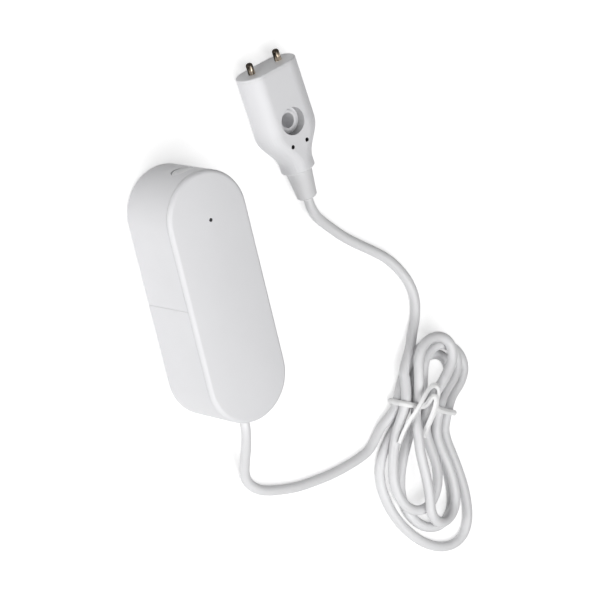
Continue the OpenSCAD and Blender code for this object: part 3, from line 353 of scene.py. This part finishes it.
def hank_path():
    """The hank's centre line: part of the run that comes in, the loops, and part of the run that goes out."""
    ends = HANK_ENDS * np.linspace(0, 1, HANK_POINTS + 1)
    loops = [hank_loop(i) for i in range(len(HANK_TOPS))]
    entry = hank_side(HANK_UPS[0], HANK_ENTRY, ends[:0:-1])
    leave = hank_side(HANK_UPS[-1], HANK_EXIT, ends)
    return hank_set(*np.vstack([entry, *loops, leave]).T)


def on_probe(x, y, z):
    """A point of the probe in millimetres, turned about its screw hole, from which x goes across and y to the
    pins."""
    place = np.array(SCREW_HOLE) / MM
    across, ahead = np.cos(PROBE_TURN), np.sin(PROBE_TURN)
    return np.array([place[0] + x * across - y * ahead, place[1] + x * ahead + y * across, z])


def cord_path(diameter):
    """The whole cord's centre line in metres: case, free run, hank, free run and probe."""
    hank = hank_path()
    reach = diameter / MM
    lead_in = hank[:1] + reach * unit(hank[:1] - hank[1:2])
    lead_out = hank[-1:] + reach * unit(hank[-1:] - hank[-2:-1])
    start = np.array([CORD_START]) / MM
    return MM * np.vstack([
        start, BODY_ROUTE, lead_in, hank, lead_out, PROBE_ROUTE[::-1],
        on_probe(0, SLEEVE_TIP, PROBE_AXIS_Z), on_probe(0, CORD_STOP, PROBE_AXIS_Z),
    ])


def freed(path):
    """0 in the bores at both of the cord's ends and 1 in its free run, by a smooth step between them."""
    along = runs(path) / MM
    nearest = np.minimum(along, along[-1] - along)
    return smooth((nearest - CORD_SNUG_TO) / (CORD_FULL_FROM - CORD_SNUG_TO))


def carried(along):
    """One crosswise direction at each point of a path, carried along it with the least turning."""
    first = unit(np.cross(along[0], [0.0, 0.0, 1.0]))
    steps = accumulate(along, lambda across, way: unit(across - (across @ way) * way), initial=first)
    return np.array(list(steps)[1:])


def round_ring(diameter, sides):
    """Section of a cord: across by half the diameter times the cosine of an angle, and up by its sine."""
    angle = np.linspace(0, 2 * np.pi, sides, endpoint=False)
    return diameter / 2 * np.stack([np.cos(angle), np.sin(angle)], axis=1)


def ribbon_ring(width, thickness, sides):
    """Section of a coated wire: an oval whose height falls off by a bell curve from the core to the thin
    wings."""
    across, up = round_ring(2, sides).T
    height = TIE_WING + (1 - TIE_WING) * np.exp(-(across / TIE_CORE_SHARE) ** 2)
    return np.stack([width / 2 * across, thickness / 2 * up * height], axis=1)


def tube(name, path, ring, share=1.0):
    """A section carried along a path: each point is the path's, plus the section's first measure across it
    and its second one square to both, times its share of the full size there. Flat caps close the ends."""
    along = unit(np.gradient(path, axis=0))
    across = carried(along)
    square = np.cross(along, across)
    sides = len(ring)
    section = ring[:, :1] * across[:, None] + ring[:, 1:] * square[:, None]
    grid = path[:, None] + np.broadcast_to(share, len(path))[:, None, None] * section
    rings = len(path)
    i, k = np.meshgrid(np.arange(rings - 1), np.arange(sides), indexing="ij")
    a, b = i * sides + k, i * sides + (k + 1) % sides
    quads = np.stack([a, b, b + sides, a + sides], axis=-1).reshape(-1, 4)
    caps = [list(range(sides - 1, -1, -1)), list(range((rings - 1) * sides, rings * sides))]
    mesh = bpy.data.meshes.new(name)
    mesh.from_pydata(grid.reshape(-1, 3).tolist(), [], quads.tolist() + caps)
    mesh.polygons.foreach_set("use_smooth", np.arange(len(quads) + 2) < len(quads))
    run = runs(path)
    round_u = np.stack([k, k + 1, k + 1, k], axis=-1) / sides
    along_v = np.stack([run[i], run[i], run[i + 1], run[i + 1]], axis=-1)
    uv = np.zeros((len(mesh.loops), 2), np.float32)
    uv[:quads.size] = np.stack([round_u, along_v], axis=-1).reshape(-1, 2)
    mesh.uv_layers.new(name="length").data.foreach_set("uv", uv.ravel())
    made = bpy.data.objects.new(name, mesh)
    bpy.context.scene.collection.objects.link(made)
    return made


# Materials

class Shader:
    """A material with a Principled shader, new or given, and short ways to add and link nodes."""

    def __init__(self, name, material=None):
        self.material = material or bpy.data.materials.new(name)
        self.material.use_nodes = True
        self.nodes = self.material.node_tree.nodes
        self.links = self.material.node_tree.links
        self.surface = self.nodes["Principled BSDF"]

    def add(self, kind, **values):
        """A node of that kind, with values for its inputs by name."""
        node = self.nodes.new(kind)
        for key, value in values.items():
            node.inputs[key.replace("_", " ")].default_value = value
        return node

    def set(self, **values):
        """Uniform values, straight on the shader's own sockets."""
        for key, value in values.items():
            self.surface.inputs[key.replace("_", " ")].default_value = value
        return self

    def place(self, kind="Object", stretch=(1, 1, 1), shift=(0, 0, 0)):
        """Coordinates on the piece, stretched and shifted."""
        coordinates = self.add("ShaderNodeTexCoord")
        mapping = self.add("ShaderNodeMapping", Scale=stretch, Location=shift)
        self.links.new(coordinates.outputs[kind], mapping.inputs["Vector"])
        return mapping.outputs["Vector"]

    def noise(self, place, scale, detail=2.0):
        """Noise of so many bumps a metre."""
        node = self.add("ShaderNodeTexNoise", Scale=scale, Detail=detail)
        self.links.new(place, node.inputs["Vector"])
        return node.outputs["Fac"]

    def ramp(self, factor, stops):
        """Colours by the factor."""
        node = self.nodes.new("ShaderNodeValToRGB")
        for element, (at, colour) in zip(self.stops(node, len(stops)), stops):
            element.position = at
            element.color = (*colour, 1)
        self.links.new(factor, node.inputs["Fac"])
        return node.outputs["Color"]

    @staticmethod
    def stops(node, count):
        """So many stops on a colour ramp."""
        elements = node.color_ramp.elements
        while len(elements) < count:
            elements.new(0.5)
        return elements

    def between(self, factor, low, high, start=0.0, end=1.0):
        """The factor brought from one range to another."""
        node = self.add("ShaderNodeMapRange", From_Min=start, From_Max=end, To_Min=low, To_Max=high)
        self.links.new(factor, node.inputs["Value"])
        return node.outputs["Result"]

    def bump(self, height, strength, distance, edge=0.0):
        """Relief from a height, over edges softened to a radius."""
        node = self.add("ShaderNodeBump", Strength=strength, Distance=distance)
        if edge:
            soft = self.add("ShaderNodeBevel", Radius=edge)
            soft.samples = EDGE_SAMPLES
            self.links.new(soft.outputs["Normal"], node.inputs["Normal"])
        self.links.new(height, node.inputs["Height"])
        self.links.new(node.outputs["Normal"], self.surface.inputs["Normal"])

    def feed(self, socket, output):
        """Links an output to one of the shader's sockets."""
        self.links.new(output, self.surface.inputs[socket])

    def mottle(self, cloud, colour, less, more):
        """The base colour, from a darker share of it to a lighter one by a cloud."""
        self.feed("Base Color", self.ramp(cloud, [(0.3, tinted(colour, less)), (0.7, tinted(colour, more))]))

    def coordinate(self, place, letter):
        """One coordinate of a place."""
        node = self.add("ShaderNodeSeparateXYZ")
        self.links.new(place, node.inputs["Vector"])
        return node.outputs[letter]

    def math(self, operation, first, second):
        """Two values combined."""
        node = self.nodes.new("ShaderNodeMath")
        node.operation = operation
        self.links.new(first, node.inputs[0])
        self.links.new(second, node.inputs[1])
        return node.outputs[0]

    def under(self, value, output):
        """1 where an output is less than a value."""
        node = self.nodes.new("ShaderNodeMath")
        node.operation = "GREATER_THAN"
        node.inputs[0].default_value = value
        self.links.new(output, node.inputs[1])
        return node.outputs[0]

    def vector(self, operation, first, second=(0, 0, 0)):
        """A vector combined with a fixed one."""
        node = self.nodes.new("ShaderNodeVectorMath")
        node.operation = operation
        node.inputs[1].default_value = second
        self.links.new(first, node.inputs[0])
        return node

    def near(self, place, axis, radius):
        """1 within a radius of an upright axis."""
        flat = self.vector("MULTIPLY", place, (1, 1, 0)).outputs["Vector"]
        return self.under(radius, self.vector("DISTANCE", flat, axis).outputs["Value"])

    def shade(self, factor, least):
        """Painted shade: darkens the base colour to a share of itself where the factor is 1."""
        base = self.surface.inputs["Base Color"]
        node = self.vector("SCALE", base.links[0].from_socket)
        self.links.new(self.between(factor, 1.0, least), node.inputs["Scale"])
        self.links.new(node.outputs["Vector"], base)


def tinted(colour, factor):
    """A colour made lighter or darker."""
    return tuple(min(1.0, c * factor) for c in colour)


def moulded(name, colour, roughness, edge=0.0):
    """Moulded plastic: faint cloudy tone, uneven gloss and a fine spark-eroded grain, over softened edges."""
    s = Shader(name)
    place = s.place()
    s.mottle(s.noise(place, scale=60.0, detail=3.0), colour, 0.988, 1.012)
    s.feed("Roughness", s.between(s.noise(place, scale=420.0), roughness - 0.05, roughness + 0.05))
    s.bump(s.noise(place, scale=9000.0, detail=1.0), strength=0.25, distance=0.012 * MM, edge=edge * MM)
    return s.set(IOR=1.46).material


def holed_painted_shade(name, colour, roughness):
    """Moulded plastic of the probe, with painted shade inside its two small holes and on its counterbore's
    wall, by the distance from their axes and the height."""
    material = moulded(name, colour, roughness, edge=SOFT_EDGE)
    s = Shader(name, material)
    place = s.place()
    inside = s.under(PEEP_TOP * MM, s.coordinate(place, "Z"))
    near = [s.near(place, on_probe(x, y, 0) * MM, PEEP_RADIUS * MM) for x, y in PEEP_PLACES]
    bore, wide = (s.near(place, on_probe(0, 0, 0) * MM, radius * MM) for radius in BORE_WALL)
    wall = s.between(s.math("SUBTRACT", wide, bore), 0.0, BORE_SHADE)
    # Painted shade: inside the small holes and on the counterbore's wall, below the holes' tops
    dark = s.math("MULTIPLY", inside, s.math("MAXIMUM", wall, s.math("MAXIMUM", *near)))
    s.shade(dark, PEEP_SHADE_LEFT)
    return material


def rubber(name, colour, roughness):
    """Soft moulded rubber: a matt skin with a little sheen."""
    s = Shader(name)
    place = s.place()
    s.mottle(s.noise(place, scale=140.0), colour, 0.985, 1.015)
    s.feed("Roughness", s.between(s.noise(place, scale=900.0), roughness - 0.04, roughness + 0.06))
    s.bump(s.noise(place, scale=5200.0), strength=0.3, distance=0.02 * MM)
    return s.set(IOR=1.5, Sheen_Weight=0.08).material


def jacket(name, colour, roughness):
    """Drawn cord jacket: long faint die lines, soft cloudy tone and an uneven satin gloss."""
    s = Shader(name)
    lines = s.noise(s.place("UV", stretch=(1, 60, 1)), scale=14.0)
    s.mottle(s.noise(s.place(), scale=90.0), colour, 0.985, 1.015)
    s.feed("Roughness", s.between(lines, roughness - 0.06, roughness + 0.06))
    s.bump(lines, strength=0.12, distance=0.03 * MM)
    return s.set(IOR=1.5).material


def plated(name, colour, roughness):
    """Plated metal: fine drawing marks in its gloss and relief, and a slightly uneven tone."""
    s = Shader(name)
    place = s.place()
    marks = s.noise(place, scale=2600.0, detail=3.0)
    s.mottle(s.noise(place, scale=300.0), colour, 0.93, 1.05)
    s.feed("Roughness", s.between(marks, roughness - 0.06, roughness + 0.1))
    s.bump(marks, strength=0.15, distance=0.01 * MM)
    return s.set(Metallic=1.0).material


def solder_mask(name, colour):
    """Circuit board: tracks that show through a glossy solder mask as lighter, raised lines."""
    s = Shader(name)
    place = s.place()
    bricks = s.add("ShaderNodeTexBrick", Scale=420.0, Mortar_Size=0.09, Brick_Width=1.4, Row_Height=0.45)
    s.links.new(place, bricks.inputs["Vector"])
    s.feed("Base Color", s.ramp(bricks.outputs["Fac"], [(0.2, colour), (0.8, tinted(colour, 1.7))]))
    s.feed("Roughness", s.between(s.noise(place, scale=500.0), 0.22, 0.34))
    s.bump(bricks.outputs["Fac"], strength=0.4, distance=0.03 * MM)
    return s.set(IOR=1.55).material


def shrink_sleeve(name, colour):
    """Shrink sleeve: a coloured body with a pale band at the button end, and faint shrink lines."""
    s = Shader(name)
    low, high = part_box("battery_cell")
    place = s.place()
    share = s.between(s.coordinate(place, "Y"), 0.0, 1.0, low.y, high.y)
    s.feed("Base Color", s.ramp(share, [
        (0.0, tinted(colour, 0.9)), (0.70, colour),
        (0.71, BAND_COLOUR), (0.93, BAND_COLOUR), (0.94, CELL_END_COLOUR),
    ]))
    s.feed("Roughness", s.between(s.noise(place, scale=260.0), 0.25, 0.38))
    s.bump(s.noise(s.place(stretch=(1, 0.1, 1)), scale=700.0), strength=0.2, distance=0.05 * MM)
    return s.set(IOR=1.5).material


def light_pipe(name):
    """Smoked light pipe with a faintly frosted end."""
    s = Shader(name)
    s.feed("Roughness", s.between(s.noise(s.place(), scale=1500.0), 0.1, 0.25))
    return s.set(Base_Color=PIPE_COLOUR, Transmission_Weight=0.3, IOR=1.49).material


def pin_painted_reflections(name, colour):
    """Gold plating on drawn wire with painted reflections: long dark and bright streaks, a painted dark
    reflection that gathers at the tips, and a gloss that rises with the bright streaks."""
    s = Shader(name)
    streaks = s.noise(s.place(stretch=(1, 0.08, 1), shift=PIN_STREAKS), scale=1100.0)
    axis = on_probe(0, 1, 0) - on_probe(0, 0, 0)
    tip = axis @ on_probe(0, PIN_TIP, 0) * MM
    ahead = s.vector("DOT_PRODUCT", s.place(), axis).outputs["Value"]
    tip_painted_dark = s.between(ahead, 0.0, PIN_TIP_PAINTED_DARK, tip - PIN_DARK * MM, tip)
    # Painted reflections: dark and bright streaks along the pins, darker toward their tips
    s.feed("Base Color", s.ramp(s.math("SUBTRACT", streaks, tip_painted_dark), [
        (0.36, tinted(colour, 0.1)), (0.48, colour), (0.60, tinted(colour, 2.4)),
    ]))
    s.feed("Roughness", s.between(streaks, 0.16, 0.08))
    s.bump(streaks, strength=0.1, distance=0.01 * MM)
    return s.set(Metallic=1.0).material


def dress(material, *nodes):
    """Gives solids a material through their objects' own slots."""
    for name in nodes:
        for slot in frame["nodes"][name].material_slots:
            slot.link = "OBJECT"
            slot.material = material


# Operators

class LEAKSENSOR_OT_stage(bpy.types.Operator):
    """Camera of the photograph, plain pale floor, soft studio light and white room"""

    bl_idname = "leak_sensor.stage"
    bl_label = "Stage"

    def execute(self, context):
        settings = context.scene.leak_sensor_stage
        context.scene.view_settings.view_transform = "Standard"
        self.camera(context)
        self.floor(context)
        self.world(context, settings.world)
        self.light(context, "key", KEY_PLACE, KEY_WIDTH, settings.key)
        self.light(context, "fill", FILL_PLACE, FILL_WIDTH, settings.fill)
        return {"FINISHED"}

    @staticmethod
    def camera(context):
        """The photograph's camera, turned by its own three axes."""
        data = bpy.data.cameras.new("camera")
        data.lens = CAMERA_LENS
        data.sensor_width = CAMERA_SENSOR
        back = (CAMERA_PLACE - CAMERA_TARGET).normalized()
        right = CAMERA_UP.cross(back).normalized()
        up = back.cross(right)
        made = bpy.data.objects.new("camera", data)
        turn = Matrix((right, up, back)).transposed().to_4x4()
        made.matrix_world = Matrix.Translation(CAMERA_PLACE) @ turn
        context.scene.collection.objects.link(made)
        context.scene.camera = made

    @staticmethod
    def seen(tree):
        """1 for what the camera, mirrors and glass see, and 0 for the light that falls on the object."""
        path = tree.nodes.new("ShaderNodeLightPath")
        total = path.outputs["Is Camera Ray"]
        for name in ("Is Glossy Ray", "Is Transmission Ray"):
            node = tree.nodes.new("ShaderNodeMath")
            node.operation = "MAXIMUM"
            tree.links.new(total, node.inputs[0])
            tree.links.new(path.outputs[name], node.inputs[1])
            total = node.outputs[0]
        return total

    def floor(self, context):
        """A flat square, far wider than the view, whose own white shows to the camera under the shadow."""
        corners = [(x * FLOOR_HALF, y * FLOOR_HALF, 0) for x, y in ((-1, -1), (1, -1), (1, 1), (-1, 1))]
        mesh = bpy.data.meshes.new("floor")
        mesh.from_pydata(corners, [], [(0, 1, 2, 3)])
        s = Shader("floor white")
        s.set(Base_Color=FLOOR_COLOUR, Roughness=0.9, Specular_IOR_Level=0.0, Emission_Color=(1, 1, 1, 1))
        s.feed("Emission Strength", s.between(self.seen(s.material.node_tree), 0.0, FLOOR_GLOW))
        mesh.materials.append(s.material)
        made = bpy.data.objects.new("floor", mesh)
        context.scene.collection.objects.link(made)

    def world(self, context, strength):
        """Grey light all round, seen as white."""
        world = bpy.data.worlds.new("room")
        world.use_nodes = True
        tree = world.node_tree
        background = tree.nodes["Background"]
        background.inputs["Color"].default_value = (1, 1, 1, 1)
        node = tree.nodes.new("ShaderNodeMapRange")
        node.inputs["To Min"].default_value = strength
        node.inputs["To Max"].default_value = 1.0
        tree.links.new(self.seen(tree), node.inputs["Value"])
        tree.links.new(node.outputs["Result"], background.inputs["Strength"])
        context.scene.world = world

    @staticmethod
    def light(context, name, place, width, power):
        """A square lamp of that width, turned to the middle of the view."""
        data = bpy.data.lights.new(name, "AREA")
        data.size = width
        data.energy = power
        made = bpy.data.objects.new(name, data)
        made.location = place
        made.rotation_euler = (CAMERA_TARGET - Vector(place)).to_track_quat("-Z", "Y").to_euler()
        context.scene.collection.objects.link(made)


class LEAKSENSOR_OT_cord(bpy.types.Operator):
    """Cord from the case through its hank to the probe, and the wire tie round the hank's waist"""

    bl_idname = "leak_sensor.cord"
    bl_label = "Cord and tie"

    def execute(self, context):
        sizes = context.scene.leak_sensor_cord
        finish = context.scene.leak_sensor_finish
        path = spaced(flowing(cord_path(sizes.diameter), CURVE_STEPS), sizes.step)
        free = freed(path)
        radius = sizes.diameter / 2
        path[:, 2] = np.maximum(path[:, 2] + free * (radius - HANK_FLOOR * MM), radius)
        share = CORD_SNUG + (1 - CORD_SNUG) * free
        cord = tube("cord", path, round_ring(sizes.diameter, sizes.sides), share)
        cord.data.materials.append(jacket("cord jacket", finish.cord, roughness=0.36))
        line = spaced(flowing(hank_set(*TIE_ROUTE.T) * MM, CURVE_STEPS), TIE_STEP * MM)
        tie = tube("wire_tie", line, ribbon_ring(sizes.tie_width, sizes.tie_thickness, TIE_SIDES))
        tie.data.materials.append(jacket("tie jacket", finish.tie, roughness=0.34))
        core_steel = plated("tie core", finish.steel, roughness=0.3)
        cores = []
        for name, end in (("tie_core_first", line[:2]), ("tie_core_last", line[:-3:-1])):
            out = end[0] + TIE_CORE_OUT * MM * unit(end[0] - end[1])
            core = tube(name, np.stack([end[0], out]), round_ring(sizes.tie_core, TIE_CORE_SIDES))
            core.data.materials.append(core_steel)
            cores.append(core)
        for piece, slot in ((cord, "cord"), (tie, "tie"), *((core, "steel") for core in cores)):
            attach(piece, "case")
        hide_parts("cord_body_run", "cord_hank", "cord_probe_run")
        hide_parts("cord_tie")
        return {"FINISHED"}


class LEAKSENSOR_OT_case(bpy.types.Operator):
    """Front cover, rear shells, cord clamp and pairing button"""

    bl_idname = "leak_sensor.case"
    bl_label = "Case"

    def execute(self, context):
        finish = context.scene.leak_sensor_finish
        dress(moulded("case white", finish.shell, finish.roughness),
              "front_cover", "battery_cover", "lower_housing", "cable_clamp")
        dress(moulded("button white", finish.button, finish.roughness - 0.05),
              "pairing_button", "switch_plunger")
        return {"FINISHED"}


class LEAKSENSOR_OT_light(bpy.types.Operator):
    """Light pipe in the front cover and the light behind it"""

    bl_idname = "leak_sensor.light"
    bl_label = "Status light"

    def execute(self, context):
        dress(light_pipe("light pipe"), "led_lens")
        dress(moulded("cast resin", RESIN_COLOUR, roughness=0.25), "status_led")
        return {"FINISHED"}


class LEAKSENSOR_OT_electronics(bpy.types.Operator):
    """Boards, radio module, switch, wire header and cores"""

    bl_idname = "leak_sensor.electronics"
    bl_label = "Electronics"

    def execute(self, context):
        finish = context.scene.leak_sensor_finish
        dress(solder_mask("solder mask", finish.board), "main_board", "probe_board")
        dress(plated("radio can", finish.steel, roughness=0.3), "radio_module")
        dress(moulded("black plastic", BLACK_COLOUR, roughness=0.4), "pairing_switch", "battery_holder")
        dress(moulded("header nylon", NYLON_COLOUR, roughness=0.38), "wire_header")
        dress(rubber("core insulation", finish.core, roughness=0.4), "wire_leads", "probe_wires")
        return {"FINISHED"}


class LEAKSENSOR_OT_battery(bpy.types.Operator):
    """Cell and its contacts"""

    bl_idname = "leak_sensor.battery"
    bl_label = "Battery"

    def execute(self, context):
        finish = context.scene.leak_sensor_finish
        dress(shrink_sleeve("cell sleeve", finish.cell), "battery_cell")
        dress(plated("contact steel", finish.steel, roughness=0.28), "positive_contact", "negative_spring")
        return {"FINISHED"}


class LEAKSENSOR_OT_screws(bpy.types.Operator):
    """Screws of the case, trough and cord clamp"""

    bl_idname = "leak_sensor.screws"
    bl_label = "Screws"

    def execute(self, context):
        finish = context.scene.leak_sensor_finish
        dress(plated("screw steel", finish.steel, roughness=0.32),
              "housing_screws", "holder_screws", "clamp_screws")
        return {"FINISHED"}


class LEAKSENSOR_OT_probe(bpy.types.Operator):
    """Probe housing, end cap, sensing pins, and the soft pieces where the cord enters"""

    bl_idname = "leak_sensor.probe"
    bl_label = "Probe"

    def execute(self, context):
        finish = context.scene.leak_sensor_finish
        dress(holed_painted_shade("probe white", finish.probe, finish.roughness), "probe_housing", "probe_end_cap")
        dress(pin_painted_reflections("gold painted reflections", finish.pin), "probe_pins")
        dress(rubber("soft sleeve", finish.sleeve, roughness=0.5), "probe_strain_relief", "cable_grommet")
        return {"FINISHED"}


def settings_of(group):
    """Names of a group's own settings, without those that every group has."""
    return [name for name in group.bl_rna.properties.keys() if name not in ("rna_type", "name")]


class LEAKSENSOR_PT_panel(bpy.types.Panel):
    """Steps and settings of the leak sensor"""

    bl_idname = "LEAKSENSOR_PT_panel"
    bl_label = "Water Leak Sensor"
    bl_space_type = "VIEW_3D"
    bl_region_type = "UI"
    bl_category = "Leak Sensor"

    def draw(self, context):
        for step in STEPS:
            self.layout.operator(step.bl_idname)
        for settings in SETTINGS:
            box = self.layout.box()
            group = getattr(context.scene, settings)
            for name in settings_of(group):
                box.prop(group, name)


SETTINGS = {
    "leak_sensor_cord": LeakSensorCord,
    "leak_sensor_finish": LeakSensorFinish,
    "leak_sensor_stage": LeakSensorStage,
}
STEPS = (
    LEAKSENSOR_OT_stage, LEAKSENSOR_OT_cord, LEAKSENSOR_OT_case, LEAKSENSOR_OT_light,
    LEAKSENSOR_OT_electronics, LEAKSENSOR_OT_battery, LEAKSENSOR_OT_screws, LEAKSENSOR_OT_probe,
)


def register():
    """Adds the classes, and the groups of settings to every scene."""
    for kind in (*SETTINGS.values(), *STEPS, LEAKSENSOR_PT_panel):
        bpy.utils.register_class(kind)
    for name, kind in SETTINGS.items():
        setattr(bpy.types.Scene, name, PointerProperty(type=kind))


def unregister():
    """Takes the groups of settings and the classes away again."""
    for name in SETTINGS:
        delattr(bpy.types.Scene, name)
    for kind in reversed((*SETTINGS.values(), *STEPS, LEAKSENSOR_PT_panel)):
        bpy.utils.unregister_class(kind)


def main():
    """Makes the stage and the pieces in order."""
    register()
    bpy.ops.leak_sensor.stage()
    bpy.ops.leak_sensor.cord()
    bpy.ops.leak_sensor.case()
    bpy.ops.leak_sensor.light()
    bpy.ops.leak_sensor.electronics()
    bpy.ops.leak_sensor.battery()
    bpy.ops.leak_sensor.screws()
    bpy.ops.leak_sensor.probe()


if __name__ == "__main__":
    main()
